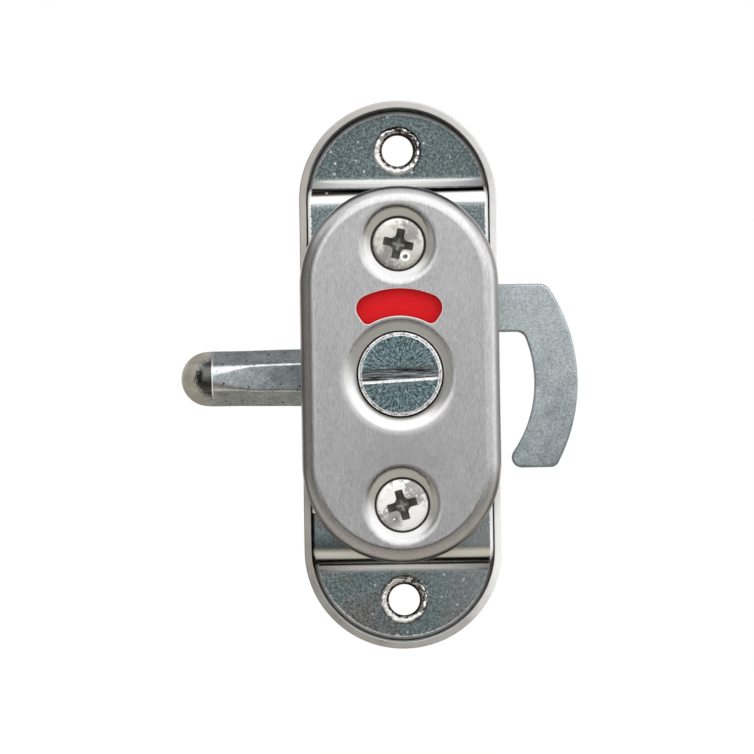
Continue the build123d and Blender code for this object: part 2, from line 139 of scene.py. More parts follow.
class Field:
    """What a node gives: a number or colour that varies, or a shader. Arithmetic on it adds Math nodes."""

    def __init__(self, tree, socket):
        self.tree = tree
        self.socket = socket

    def step(self, operation, *others):
        """One step of arithmetic, on this field and maybe on others or numbers."""
        return field(self.tree, "ShaderNodeMath", 0, dict(enumerate((self, *others))), operation=operation)

    def __add__(self, other):
        return self.step("ADD", other)

    def __sub__(self, other):
        return self.step("SUBTRACT", other)

    def __rsub__(self, number):
        return field(self.tree, "ShaderNodeMath", 0, {0: number, 1: self}, operation="SUBTRACT")

    def __mul__(self, other):
        return self.step("MULTIPLY", other)

    def __truediv__(self, other):
        return self.step("DIVIDE", other)

    def __neg__(self):
        return self * -1.0

    def __abs__(self):
        return self.step("ABSOLUTE")


def add(tree, kind, inputs=None, **settings):
    """A shader node. An input is a value, or the field or socket that feeds it."""
    node = tree.nodes.new(kind)
    for name, value in settings.items():
        setattr(node, name, value)
    for name, value in (inputs or {}).items():
        value = getattr(value, "socket", value)
        if isinstance(value, bpy.types.NodeSocket):
            tree.links.new(value, node.inputs[name])
        else:
            node.inputs[name].default_value = value
    return node


def field(tree, kind, output, inputs=None, **settings):
    """One output of a new shader node."""
    return Field(tree, add(tree, kind, inputs, **settings).outputs[output])


def material(name, colour, metallic, roughness, **sockets):
    """A Principled material with its plain values set on the shader's own sockets."""
    made = bpy.data.materials.new(name)
    made.use_nodes = True
    surface = made.node_tree.nodes["Principled BSDF"]
    surface.inputs["Base Color"].default_value = (*colour, 1)
    surface.inputs["Metallic"].default_value = metallic
    surface.inputs["Roughness"].default_value = roughness
    for socket, value in sockets.items():
        surface.inputs[socket.replace("_", " ")].default_value = value
    return made, made.node_tree, surface


def drive(surface, **fields):
    """Lets fields set the shader's sockets."""
    for socket, value in fields.items():
        value.tree.links.new(value.socket, surface.inputs[socket.replace("_", " ")])


def bumped(surface, height, depth, strength=0.5):
    """Raises the surface where the height is large."""
    inputs = {"Height": height, "Distance": depth, "Strength": strength}
    drive(surface, Normal=field(height.tree, "ShaderNodeBump", 0, inputs))


def scaled_point(tree, per_mm, offset):
    """The shaded point in the frame of its piece, scaled along X, Y and Z and moved."""
    scale = [value / MM for value in per_mm]
    point = field(tree, "ShaderNodeTexCoord", "Object")
    return field(tree, "ShaderNodeMapping", 0, {"Vector": point, "Scale": scale, "Location": offset})


def grain(tree, per_mm, detail=3.0, roughness=0.55, offset=(0, 0, 0)):
    """Noise from 0 to 1 whose cells are 1 / per_mm millimetres long in X, Y and Z."""
    point = scaled_point(tree, per_mm, offset)
    inputs = {"Vector": point, "Scale": 1.0, "Detail": detail, "Roughness": roughness}
    return field(tree, "ShaderNodeTexNoise", "Fac", inputs)


def spots(tree, per_mm, size, offset=(0, 0, 0)):
    """1 in small round spots and 0 elsewhere."""
    point = scaled_point(tree, [per_mm] * 3, offset)
    cells = field(tree, "ShaderNodeTexVoronoi", "Distance", {"Vector": point, "Scale": 1.0})
    return ranged(cells, 1.0, 0.0, size * 0.6, size)


def object_point(tree):
    """The X, Y and Z of the shaded point, in metres, in the frame of its piece."""
    point = field(tree, "ShaderNodeTexCoord", "Object")
    return [field(tree, "ShaderNodeSeparateXYZ", axis, {0: point}) for axis in "XYZ"]


def normal_part(tree, axis):
    """One part of the surface's normal. The joints turn about Y, so its Y part is the same at every pose."""
    normal = field(tree, "ShaderNodeNewGeometry", "Normal")
    return field(tree, "ShaderNodeSeparateXYZ", axis, {0: normal})


def most(first, *others):
    """The largest of several values."""
    for other in others:
        first = first.step("MAXIMUM", other)
    return first


def ranged(value, low, high, from_low=0.3, from_high=0.7):
    """A value brought from one range to another, and held inside it."""
    inputs = {"Value": value, "From Min": from_low, "From Max": from_high, "To Min": low, "To Max": high}
    return field(value.tree, "ShaderNodeMapRange", 0, inputs)


def above(value, level, soft=0.04 * MM):
    """1 where a value is over a level, and 0 below it."""
    return ranged(value, 0.0, 1.0, level - soft, level + soft)


def below(value, level, soft=0.04 * MM):
    """1 where a value is under a level, and 0 over it."""
    return 1 - above(value, level, soft)


def span(value, low, high, soft_low=0.04 * MM, soft_high=0.04 * MM):
    """1 where a value lies between two levels, and 0 outside them."""
    return above(value, low, soft_low) - above(value, high, soft_high)


def line_at(value, level, half):
    """1 in a narrow line along a level."""
    return span(value, level - half, level + half)


def ragged(value, burr, amount):
    """A value moved to and fro by noise, so that what it outlines isn't even."""
    return value + ranged(burr, -amount, amount)


def distance(x, z):
    return (x * x + z * z).step("SQRT")


def from_spine(x, z, reach):
    """The distance from the line between the middles of a stadium's two arcs, at -reach and reach, and how
    much of it is along Z."""
    rise = z - most(z, -reach).step("MINIMUM", reach)
    return distance(x, rise), rise


def from_screw_middle(z):
    """How far a Z lies above the middle of the plate screw on its side."""
    return z - z.step("SIGN") * SCREW_Z


def side_towards(x, z, out, degrees, start, end):
    """1 on the side of a middle that lies towards an angle, 0 on the other. out is the distance from it."""
    angle = math.radians(degrees)
    toward = x * math.cos(angle) + z * math.sin(angle)
    return ranged(toward / out, 0.0, 1.0, start, end)


def blended(factor, a, b):
    """One colour by factor 0, another by factor 1. Either may be a field."""
    a, b = (end if isinstance(end, Field) else (*end, 1) for end in (a, b))
    return field(factor.tree, "ShaderNodeMix", "Result", {"Factor": factor, "A": a, "B": b}, data_type="RGBA")


def brushed_stainless():
    """Vertical brushing on the pressed plate, with painted shade in the gaps round the screws and the
    spindle, and painted light on its dimples, dish, window and rim.
    """
    made, tree, surface = material("brushed_stainless", (0.60, 0.60, 0.60), 1.0, 0.32)
    x, _, z = object_point(tree)
    from_axis = distance(x, z)
    tilt = abs(normal_part(tree, "Y"))
    fine = grain(tree, (8.0, 8.0, 1.1), 4.0, 0.75)
    broad = grain(tree, (0.6, 0.6, 0.2), 4.0, offset=(3, 1, 2))
    burr = grain(tree, (2.2, 2.2, 2.2), 4.0, 0.7, offset=(6, 1, 8))
    shade = ranged(fine, -0.7, 0.7, 0.25, 0.75) + ranged(broad, 0.43, 0.57, 0.35, 0.65)
    steel = blended(shade, (0.41, 0.41, 0.415), (0.65, 0.65, 0.655))
    # A painted dark reflection in a patch low on the plate
    patch_middle, patch_radius, patch_fade = -12.5 * MM, 5 * MM, 3.5 * MM
    dimmer = below(distance(x, z - patch_middle), patch_radius, patch_fade)
    steel = blended(dimmer * 0.28, steel, (0.3, 0.3, 0.3))
    # A painted highlight on the window's edge, and painted shade in a line round the dish's upper half and at
    # the foot of its lower half
    around = span(from_axis, *WINDOW_SPAN) * above(z, WINDOW_FOOT)
    window = span(tilt, 0.32, 0.93, 0.06, 0.04) * around
    steel = blended(window, steel, (0.95, 0.95, 0.94))
    ring = ragged(from_axis, burr, 0.12 * MM)
    upper_half, lower_half = above(z, 2 * MM, 2 * MM), below(z, -1 * MM, 2 * MM)
    outline = line_at(ring, DISH_EDGE, 0.07 * MM) * upper_half
    outline = outline * ranged(burr, 0.2, 0.75, 0.35, 0.55)
    steel = blended(outline, steel, (0.1, 0.075, 0.055))
    dish_foot = (6.0 * MM, 6.75 * MM)
    foot = span(from_axis, *dish_foot, 0.1 * MM, 0.25 * MM) * lower_half
    steel = blended(foot * 0.6, steel, (0.2, 0.18, 0.155))
    # Painted shade along the crease inside the rim, which fades upwards, and on the bend outside it
    crease_fade = (-19 * MM, -14 * MM)
    to_rim, _ = from_spine(x, z, PLATE_ARC_Z)
    to_rim = ragged(to_rim, burr, 0.1 * MM)
    crease = line_at(to_rim, PLATE_CREASE, 0.08 * MM) * ranged(z, 0.6, 0.0, *crease_fade)
    turned = span(tilt, 0.3, 0.66, 0.1, 0.08) * above(to_rim, PLATE_BEND)
    steel = blended(most(crease, turned * 0.5), steel, (0.12, 0.09, 0.07))
    # Screw dimples: a painted highlight below from the gap round the head outwards, painted beige shade
    # above, with a painted dark outline
    highlight_wall, shade_wall = 4.95 * MM, 5.2 * MM
    rise = from_screw_middle(z)
    from_screw = distance(x, rise)
    lit = side_towards(x, rise, from_screw, 255, -0.25, 0.65)
    glow = below(from_screw, highlight_wall, 0.3 * MM) * lit
    painted_beige = below(from_screw, shade_wall, 0.2 * MM) * (1 - lit)
    # The spindle's dish with the same painted highlight and painted shade, without an outline
    highlight_wall, shade_wall = (6.9 * MM, 8.6 * MM), (6.5 * MM, 7.6 * MM)
    lit = side_towards(x, z, from_axis, 250, -0.1, 0.6)
    glow = most(glow, span(from_axis, *highlight_wall, 0.25 * MM, 0.5 * MM) * lit * 0.65)
    painted_beige = most(painted_beige, span(from_axis, *shade_wall, 0.15 * MM, 0.25 * MM) * (1 - lit) * 0.75)
    # Painted shade in a dark arc over each screw dimple, whose middle is a little up and to the left
    left, up, arc_wall, arc_foot = 0.2 * MM, 0.75 * MM, (4.57 * MM, 4.93 * MM), 1.9 * MM
    to_arc = ragged(distance(x + left, rise - up), burr, 0.12 * MM)
    arc = span(to_arc, *arc_wall, 0.1 * MM, 0.12 * MM) * above(rise, arc_foot, MM)
    steel = blended(glow, steel, (0.88, 0.88, 0.875))
    steel = blended(painted_beige * 0.85, steel, (0.49, 0.475, 0.43))
    steel = blended(arc * 0.75, steel, (0.1, 0.08, 0.06))
    # Painted shade in the gaps round the screw heads and the spindle
    gap_shade = most(below(from_screw, SCREW_SEAM), below(from_axis, SPINDLE_SEAM))
    # Less metal where light and shade are painted, so that they show
    pale = most(window, glow, painted_beige * 0.6)
    drive(
        surface,
        Base_Color=blended(gap_shade, steel, (0.045, 0.038, 0.032)),
        Metallic=ranged(pale, 1.0, 0.15, 0.0, 1.0),
        Roughness=most(gap_shade, ranged(fine, 0.28, 0.36)),
    )
    bumped(surface, fine, 0.002 * MM, 0.4)
    return made


def case_stainless():
    """Satin finish on the drawn case. Its rim is painted lighter and whiter on the right as painted light,
    and its cup is painted dark inside as painted shade.
    """
    made, tree, surface = material("case_stainless", (0.62, 0.61, 0.60), 1.0, 0.34)
    x, y, z = object_point(tree)
    fine = grain(tree, (6.0, 6.0, 0.9), 4.0)
    wear = grain(tree, (0.35, 0.35, 0.35), 4.0, offset=(5, 2, 1))
    shade = ranged(fine + wear, 0.0, 1.0, 0.7, 1.3)
    # The rim's tone: lighter from left to right as painted light, and darker from the middle towards both
    # ends
    tone_end, darkening_sides = 14 * MM, (8 * MM, 13 * MM)
    lower_darkening, upper_darkening = (-34 * MM, -10 * MM), (14 * MM, 30 * MM)
    lightened = blended(ranged(x, 0.0, 1.0, -tone_end, tone_end), (0.54, 0.51, 0.47), (0.97, 0.97, 0.96))
    darkened = ranged(z, 0.45, 0.0, *lower_darkening) * ranged(x, 1.0, 0.0, *darkening_sides)
    darkened = most(darkened, ranged(z, 0.0, 0.35, *upper_darkening))
    lightened = blended(darkened, lightened, (0.22, 0.205, 0.185))
    plain = blended(shade, (0.52, 0.51, 0.49), (0.72, 0.71, 0.7))
    rim_depth, white_side, white_end = 0.45 * MM, 9 * MM, (6 * MM, 24 * MM)
    rim = below(y, rim_depth, 0.15 * MM)
    steel = blended(rim * 0.9, plain, lightened)
    # A painted highlight: less metal on the right of the rim, so that it reads white
    white = rim * ranged(x, 0.0, 0.6, white_side, tone_end)
    white = white * ranged(z, 1.0, 0.0, *white_end)
    # Painted shade on the walls that face the spine, darker with depth
    deep = (1.0 * MM, 4.5 * MM)
    _, rise = from_spine(x, z, CASE_ARC_Z)
    outward = x * normal_part(tree, "X") + rise * normal_part(tree, "Z")
    inside = ranged(y, 0.35, 1.0, *deep) * below(outward, -8 * MM, 2 * MM)
    drive(
        surface,
        Base_Color=blended(inside, steel, (0.05, 0.045, 0.04)),
        Metallic=1 - white,
        Roughness=ranged(wear, 0.27, 0.42),
    )
    bumped(surface, fine, 0.004 * MM)
    return made


def lip_steel():
    """Torn, bright steel of the rolled collars. It has a painted highlight low on the left, and painted shade
    in the bore and at the upper right, mixed with grime."""
    made, tree, surface = material("lip_steel", (0.75, 0.74, 0.73), 1.0, 0.22)
    x, _, z = object_point(tree)
    grime = grain(tree, (1.6, 1.6, 1.6), 4.0, 0.7, offset=(1, 7, 3))
    beyond = abs(z) - MOUNT_Z
    rise = beyond * z.step("SIGN")
    out = distance(x, beyond)
    bore_edge = MOUNT_BORE + 0.3 * MM
    # Painted shade in the bore and towards the upper right, mixed with grime noise
    bore = below(ragged(out, grime, 0.35 * MM), bore_edge, 0.12 * MM)
    toward = (x + rise) / out
    shaded_side = ranged(toward, -0.14, 0.1, -1.4, 1.4)
    dirt_and_shade = most(bore, ranged(grime + shaded_side, 0.0, 1.0, 0.54, 0.64))
    # A painted highlight low on the left: whiter and less metal
    painted_highlight = (1 - dirt_and_shade) * ranged(toward, 0.7, 0.0, -1.2, 0.2)
    drive(
        surface,
        Base_Color=blended(dirt_and_shade, (0.92, 0.91, 0.9), (0.07, 0.06, 0.05)),
        Metallic=1 - painted_highlight,
        Roughness=ranged(grime, 0.18, 0.34),
    )
    bumped(surface, grime, 0.03 * MM)
    return made


def zinc_plate():
    """Bright zinc with a strong fine speckle and a few pits, with painted highlights on the bends and painted
    shade on their wall.
    """
    made, tree, surface = material("zinc_plate", (0.38, 0.50, 0.51), 1.0, 0.16)
    x, _, z = object_point(tree)
    down = -z
    upper = above(z, 0.0)
    tilt = abs(normal_part(tree, "Y"))
    speckle = grain(tree, (3.2, 3.2, 3.2), 5.0, 0.8)
    cloud = grain(tree, (0.16, 0.16, 0.16), 4.0, 0.65, offset=(2, 4, 9))
    pits = spots(tree, 0.6, 0.14)
    shade = ranged(speckle, 0.0, 1.0, 0.36, 0.64)
    cool = blended(shade, (0.06, 0.12, 0.13), (0.54, 0.66, 0.67))
    warm = blended(shade, (0.1, 0.1, 0.09), (0.6, 0.6, 0.57))
    warmth = ranged(cloud, 0.0, 0.9, 0.42, 0.62) * ranged(upper, 1.0, 0.3, 0.0, 1.0)
    colour = blended(warmth, cool, warm)
    # The lower half has a painted shadow beside the plate's end and is paler to the right. The upper tab is a
    # little darker.
    shadow_start, shadow_end, shadow_sides = (22.9 * MM, 24.9 * MM), 26 * MM, (-4 * MM, 10 * MM)
    paler_sides, tab_start = (2 * MM, 11 * MM), (28.8 * MM, 29.6 * MM)
    shadow = ranged(down, 0.0, 0.62, *shadow_start) * below(down, shadow_end)
    shadow = shadow * ranged(x, 1.0, 0.3, *shadow_sides)
    colour = blended(shadow, colour, (0.02, 0.022, 0.022))
    paler = (1 - upper) * ranged(x, 0.0, 0.33, *paler_sides)
    colour = blended(paler, colour, (0.72, 0.74, 0.74))
    colour = blended(ranged(z, 0.0, 0.3, *tab_start), colour, (0.03, 0.05, 0.055))
    # Painted highlight bands along the bends, with painted shade on the wall between them
    upper_bend, lower_bend = (25.05 * MM, 28.85 * MM), (25.45 * MM, 28.65 * MM)
    lower_wall, foot_start = (26.8 * MM, 27.8 * MM), 27.8 * MM
    band = most(span(z, *upper_bend, 0.85 * MM, 0.35 * MM), span(down, *lower_bend, 0.45 * MM, 0.4 * MM))
    wall = most(below(tilt, 0.55, 0.05), span(down, *lower_wall, 0.15 * MM, 0.1 * MM))
    white_band = most(upper, above(down, foot_start, 0.1 * MM))
    pale = blended(white_band, (0.66, 0.64, 0.58), (0.97, 0.97, 0.96))
    plated = blended(band, colour, blended(wall, pale, (0.16, 0.14, 0.12)))
    # Painted shade in a dark line across the upper bend, rising a little to the right
    line_span, line_rise, line_ends = (26.2 * MM, 27 * MM), 0.45 * MM, (-12 * MM, 12 * MM)
    level = z - ranged(x, 0.0, line_rise, *line_ends)
    line = span(level, *line_span, 0.2 * MM, 0.1 * MM)
    plated = blended(line, plated, (0.055, 0.045, 0.04))
    # Less metal on the bands, so that the painted highlight reads white
    painted_band_highlight = band * (1 - wall) * ranged(white_band, 0.55, 0.95, 0.0, 1.0) * (1 - line)
    # A painted highlight along the outline's edge, but for a dark stretch at the lower left
    dark_stretch = (20 * MM, 27.6 * MM)
    sideways = above(abs(normal_part(tree, "X")), 0.2, 0.05)
    beyond = above(abs(z), BASE_BRIDGE_Z, 0.3 * MM)
    edge = span(tilt, 0.3, 0.93, 0.1, 0.03) * most(sideways, beyond)
    out, _ = from_spine(x, z, CASE_ARC_Z)
    edge = most(edge, above(ragged(out, speckle, 0.2 * MM), BASE_EDGE))
    edge = edge * (1 - span(down, *dark_stretch) * below(x, 0.0))
    drive(
        surface,
        Base_Color=blended(most(edge, pits), plated, (0.9, 0.91, 0.9)),
        Metallic=1 - most(edge, painted_band_highlight),
        Roughness=ranged(speckle, 0.11, 0.22) + edge * 0.3,
    )
    bumped(surface, speckle - pits, 0.008 * MM)
    return made


def hook_zinc():
    """Matt zinc on the hook, cloudy, and darker towards the tip."""
    made, tree, surface = material("hook_zinc", (0.50, 0.55, 0.57), 1.0, 0.42)
    _, _, z = object_point(tree)
    speckle = grain(tree, (3.6, 3.6, 3.6), 5.0, 0.8)
    cloud = grain(tree, (0.28, 0.28, 0.28), 4.0, 0.7, offset=(3, 3, 5))
    stain = ranged(grain(tree, (0.9, 0.9, 0.9), 5.0, 0.75, offset=(8, 1, 2)), 0.0, 1.0, 0.6, 0.72)
    shade = ranged(speckle, 0.0, 1.0, 0.34, 0.66)
    lighter_zinc = blended(shade, (0.26, 0.3, 0.32), (0.66, 0.71, 0.73))
    dimmer = blended(shade, (0.09, 0.12, 0.145), (0.33, 0.38, 0.405))
    tip_to_arm = (-20 * MM, 10 * MM)
    low = ranged(z, 0.75, -0.15, *tip_to_arm) + ranged(cloud, -0.3, 0.35, 0.35, 0.65)
    zinc = blended(ranged(low, 0.0, 1.0, 0.0, 1.0), lighter_zinc, dimmer)
    drive(surface, Base_Color=blended(stain, zinc, (0.3, 0.28, 0.25)), Roughness=ranged(speckle, 0.36, 0.48))
    bumped(surface, speckle, 0.008 * MM)
    return made


def from_dimple(x, z, side, dimple):
    """The distance from the dimple of the plate screw on one side."""
    right, up = dimple
    return distance(x - right * MM, z - (side * SCREW_Z + up * MM))


def screw_nickel():
    """Stained nickel. The upper plate screw is painted warmer and darker as painted shade, with a painted
    highlight in a ring round its dimple. The lower one is painted paler as painted light, with a darker patch
    round its dimple."""
    made, tree, surface = material("screw_nickel", (0.87, 0.86, 0.83), 0.7, 0.3)
    x, _, z = object_point(tree)
    upper = above(z, 0.0)
    stain = grain(tree, (0.9, 0.9, 0.9), 5.0, 0.65, offset=(2, 2, 7))
    mottle = grain(tree, (1.3, 1.3, 1.3), 4.0, 0.7, offset=(4, 9, 2))
    # The upper screw is painted darker and warmer as painted shade, and the lower one paler with less metal
    # as painted light
    shade = ranged(stain - upper * 0.04, 0.0, 1.0, 0.32, 0.46)
    metal = blended(shade, (0.52, 0.46, 0.35), (0.93, 0.92, 0.9))
    metal = blended(upper * 0.6, metal, (0.56, 0.54, 0.49))
    # Two darker sectors on each face as a painted reflection, and a darker patch round the lower dimple
    rise = from_screw_middle(z)
    out = distance(x, rise)
    swirl = x * rise * 2.0 / (out * out)
    darker_sectors = ranged(swirl + ranged(mottle, -1.0, 1.0), 0.0, 0.85, 0.05, 0.85)
    dark_patch_radius, ring_radius, face_radius = 1.0 * MM, 0.72 * MM, 4.5 * MM
    dark_patch = ragged(from_dimple(x, z, -1, DIMPLE_LOWER), mottle, 0.6 * MM)
    dark_patch = below(dark_patch, dark_patch_radius, 0.4 * MM) * 0.85
    darker_sectors = most(darker_sectors, dark_patch) * below(out, face_radius)
    metal = blended(darker_sectors, metal, (0.27, 0.26, 0.25))
    # A painted highlight in a ring round the upper dimple
    ring = below(from_dimple(x, z, 1, DIMPLE_UPPER), ring_radius, 0.1 * MM)
    painted_pale = most(ring, ranged(upper, 0.7, 0.0, 0.0, 1.0))
    drive(
        surface,
        Base_Color=blended(ring, metal, (0.97, 0.96, 0.95)),
        Metallic=ranged(painted_pale, 0.75, 0.2, 0.0, 1.0),
        Roughness=ranged(stain, 0.42, 0.26),
    )
    bumped(surface, stain, 0.02 * MM)
    return made


def recess_dark():
    """Oily steel inside a cross recess or dimple, painted dark as painted shade. It is lighter at the bottom
    of the cross, and the lower plate screw's dimple has a painted glint."""
    made, tree, surface = material("recess_dark", (0.10, 0.095, 0.085), 0.5, 0.4)
    x, _, z = object_point(tree)
    oil = grain(tree, (2.2, 2.2, 2.2), 4.0, 0.7)
    lightened_radius, glint_radius, glint_left = 0.75 * MM, 0.2 * MM, 0.12
    lightened = below(distance(x, abs(z) - SCREW_Z), lightened_radius, 0.35 * MM)
    shade = ranged(oil, 0.0, 0.5) + lightened * 0.5
    oily = blended(shade, (0.13, 0.12, 0.1), (0.36, 0.37, 0.34))
    right, up = DIMPLE_LOWER
    # A painted highlight: a glint in the lower dimple
    glint = below(from_dimple(x, z, -1, (right - glint_left, up)), glint_radius, 0.08 * MM)
    drive(surface, Base_Color=blended(glint, oily, (0.95, 0.94, 0.92)), Roughness=ranged(oil, 0.3, 0.5))
    return made


def turned_zinc():
    """A turned face under zinc: fine rays and arcs, a ragged rim with a painted highlight, and a milled slot
    with a painted highlight along its lower edge.
    """
    made, tree, surface = material("turned_zinc", (0.27, 0.37, 0.39), 1.0, 0.2)
    x, y, z = object_point(tree)
    radius = distance(x, z)
    speckle = grain(tree, (3.5, 3.5, 3.5), 4.0, 0.8, offset=(4, 1, 6))
    burr = grain(tree, (2.5, 2.5, 2.5), 3.0, 0.7, offset=(8, 3, 1))
    polar = field(tree, "ShaderNodeCombineXYZ", 0, {"X": radius, "Y": z.step("ARCTAN2", x)})
    ray_scale = (1.2 / MM, 16.0, 1.0)
    stretched = field(tree, "ShaderNodeMapping", 0, {"Vector": polar, "Scale": ray_scale})
    inputs = {"Vector": stretched, "Scale": 1.0, "Detail": 5.0, "Roughness": 0.75}
    rays = field(tree, "ShaderNodeTexNoise", "Fac", inputs)
    shade = ranged(rays + speckle, 0.0, 1.0, 0.86, 1.22)
    face = blended(shade, (0.01, 0.035, 0.04), (0.56, 0.76, 0.8))
    # The rim, with a painted highlight and a dark ragged line along its inner side
    rim = blended(ranged(burr, 0.0, 1.0, 0.35, 0.5), (0.6, 0.58, 0.56), (0.95, 0.95, 0.95))
    rim_dark_line = line_at(ragged(radius, burr, 0.25 * MM), SPINDLE_DARK_LINE, 0.09 * MM)
    rim_dark_line = rim_dark_line * ranged(speckle, 0.5, 1.0, 0.4, 0.54)
    rim = blended(rim_dark_line, rim, (0.05, 0.04, 0.035))
    # The slot's floor, and a painted highlight along its lower edge, ragged like a burr
    lines = grain(tree, (0.22, 5.0, 5.0), 4.0, 0.8)
    slot = blended(ranged(lines, 0.0, 1.0, 0.44, 0.64), (0.015, 0.015, 0.015), (0.66, 0.72, 0.74))
    across = z * math.cos(SLOT_TILT) - x * math.sin(SLOT_TILT) + burr * (0.2 * MM)
    lip_outside, lip_inside, shown_depth = 0.18 * MM, 0.22 * MM, 1.05 * MM
    lip = above(across, -SLOT_HALF - lip_outside) * below(across, -SLOT_HALF + lip_inside)
    in_slot = above(y, SPINDLE_FRONT + SLOT_FLOOR)
    shown = below(y, SPINDLE_FRONT + shown_depth)
    on_rim = above(radius + burr * (0.4 * MM), SPINDLE_FACE + 0.2 * MM)
    # Painted highlight: pale and less metal on the rim and along the slot's lower edge
    painted_highlight = most(on_rim, lip) * shown
    floor = in_slot * (1 - on_rim)
    drive(
        surface,
        Base_Color=blended(painted_highlight, blended(floor, face, slot), rim),
        Metallic=1 - painted_highlight * 0.85,
        Roughness=ranged(rays, 0.16, 0.26) + painted_highlight * 0.25,
    )
    bumped(surface, rays + on_rim * burr * 6.0, 0.006 * MM)
    return made


def cast_nickel():
    """Plated casting with a slight orange peel and small brown pits. On its door side the facet is painted
    darker towards the plate as painted shade. The nose is rougher, with a painted beige reflection and a
    painted dark reflection in a patch, past a painted highlight along the crease."""
    made, tree, surface = material("cast_nickel", (0.56, 0.60, 0.61), 1.0, 0.2)
    x, y, z = object_point(tree)
    peel = grain(tree, (1.5, 1.5, 1.5), 4.0, 0.6)
    speckle = grain(tree, (3.2, 3.2, 3.2), 5.0, 0.85, offset=(2, 6, 4))
    cloud = grain(tree, (0.45, 0.7, 0.7), 4.0, 0.7, offset=(6, 2, 1))
    side_fade, facet_fade = 1.4 * MM, (-26 * MM, -14 * MM)
    door_side = below(y, LEVER_AXIS + side_fade, side_fade)
    facet = above(-normal_part(tree, "Y"), 0.985, 0.01)
    pits = most(spots(tree, 0.7, 0.15, offset=(3, 5, 1)), spots(tree, 1.3, 0.17, offset=(7, 2, 4)))
    pits = pits * ranged(door_side, 0.35, 1.0, 0.0, 1.0)
    shade = ranged(speckle + cloud * 0.8, 0.0, 1.0, 0.72, 1.1)
    colour = blended(shade, (0.38, 0.42, 0.43), (0.8, 0.84, 0.85))
    # Painted shade: the facet darker towards the plate
    darker = facet * ranged(x, 0.0, 0.72, *facet_fade)
    colour = blended(darker, colour, (0.1, 0.13, 0.14))
    colour = blended(pits, colour, (0.07, 0.05, 0.045))
    # The nose, by how far a place is past the crease: a painted beige reflection, a painted dark reflection
    # in a patch, and a painted highlight along the crease. The dark patch is a little shorter than it is
    # wide.
    patch_stretch = 3.0 / 2.7
    crease_line = (-0.2 * MM, -0.03 * MM)
    past = -x - (LEVER_REACH - LEVER_NOSE)
    on_nose = above(past, 0.0, 0.02 * MM) * door_side
    reach = ragged(distance(past * patch_stretch, z), speckle, 0.7 * MM)
    patch = on_nose * below(reach, LEVER_PATCH, 0.35 * MM)
    middle = below(abs(z), LEVER_PATCH, 0.5 * MM)
    blurred = above(past, 0.3 * MM, 0.8 * MM) * door_side
    painted_beige = most(blurred, on_nose * middle) * (1 - patch)
    dimmer = blended(shade, (0.31, 0.28, 0.23), (0.46, 0.43, 0.365))
    colour = blended(painted_beige, colour, dimmer)
    colour = blended(patch, colour, (0.1, 0.1, 0.095))
    crease = span(past, *crease_line) * door_side * middle
    drive(
        surface,
        Base_Color=blended(crease, colour, (0.95, 0.96, 0.97)),
        Metallic=1 - most(crease * 0.6, painted_beige * 0.65),
        Roughness=ranged(peel, 0.16, 0.25) + painted_beige * 0.2,
    )
    bumped(surface, peel - pits, 0.012 * MM)
    return made


def mottled(surface, texture, dark, light, rough):
    """Lets a texture vary a plain finish's colour and roughness a little."""
    colour = blended(ranged(texture, 0.0, 1.0), dark, light)
    drive(surface, Base_Color=colour, Roughness=ranged(texture, *rough))


def plain_steel():
    made, tree, surface = material("plain_steel", (0.5, 0.5, 0.5), 1.0, 0.35)
    mottled(surface, grain(tree, (3.0, 3.0, 3.0), 4.0), (0.42, 0.42, 0.42), (0.56, 0.56, 0.56), (0.28, 0.42))
    return made


def spring_steel():
    made, tree, surface = material("spring_steel", (0.38, 0.38, 0.4), 1.0, 0.28)
    mottled(surface, grain(tree, (4.0, 0.6, 4.0), 3.0), (0.3, 0.3, 0.32), (0.46, 0.46, 0.48), (0.2, 0.36))
    return made


def nylon():
    made, tree, surface = material("nylon", (0.82, 0.81, 0.76), 0.0, 0.45)
    mottled(surface, grain(tree, (2.0, 2.0, 2.0), 4.0), (0.78, 0.77, 0.71), (0.86, 0.85, 0.81), (0.38, 0.52))
    return made


def film(name, colour, edge_colour):
    """A coloured film on the disc, slightly uneven in its gloss."""
    made, tree, surface = material(name, colour, 0.0, 0.5, Specular_IOR_Level=0.05)
    mottled(surface, grain(tree, (1.2, 1.2, 1.2), 3.0), edge_colour, colour, (0.45, 0.55))
    return made


def as_object(name, mesh):
    """A mesh as a named object in the scene."""
    bmesh.ops.recalc_face_normals(mesh, faces=mesh.faces)
    data = bpy.data.meshes.new(name)
    mesh.to_mesh(data)
    mesh.free()
    piece = bpy.data.objects.new(name, data)
    bpy.context.scene.collection.objects.link(piece)
    return piece


def band_rings(mesh, rings):
    """Faces from each ring of vertices to the next. A ring of one vertex is a point."""
    steps = max(len(ring) for ring in rings)
    for near, far in zip(rings, rings[1:]):
        for i in range(steps):
            j = (i + 1) % steps
            corners = [near[i % len(near)], near[j % len(near)], far[j % len(far)], far[i % len(far)]]
            mesh.faces.new(list(dict.fromkeys(corners)))


def lathe(name, profile, steps=96):
    """A mesh turned about the Y axis from points of radius and depth."""
    mesh = bmesh.new()
    rings = []
    angles = [2 * math.pi * i / steps for i in range(steps)]
    for radius, depth in profile:
        ring = [(radius * math.cos(angle), depth, radius * math.sin(angle)) for angle in angles]
        points = ring if radius else [(0, depth, 0)]
        rings.append([mesh.verts.new(point) for point in points])
    band_rings(mesh, rings)
    return as_object(name, mesh)


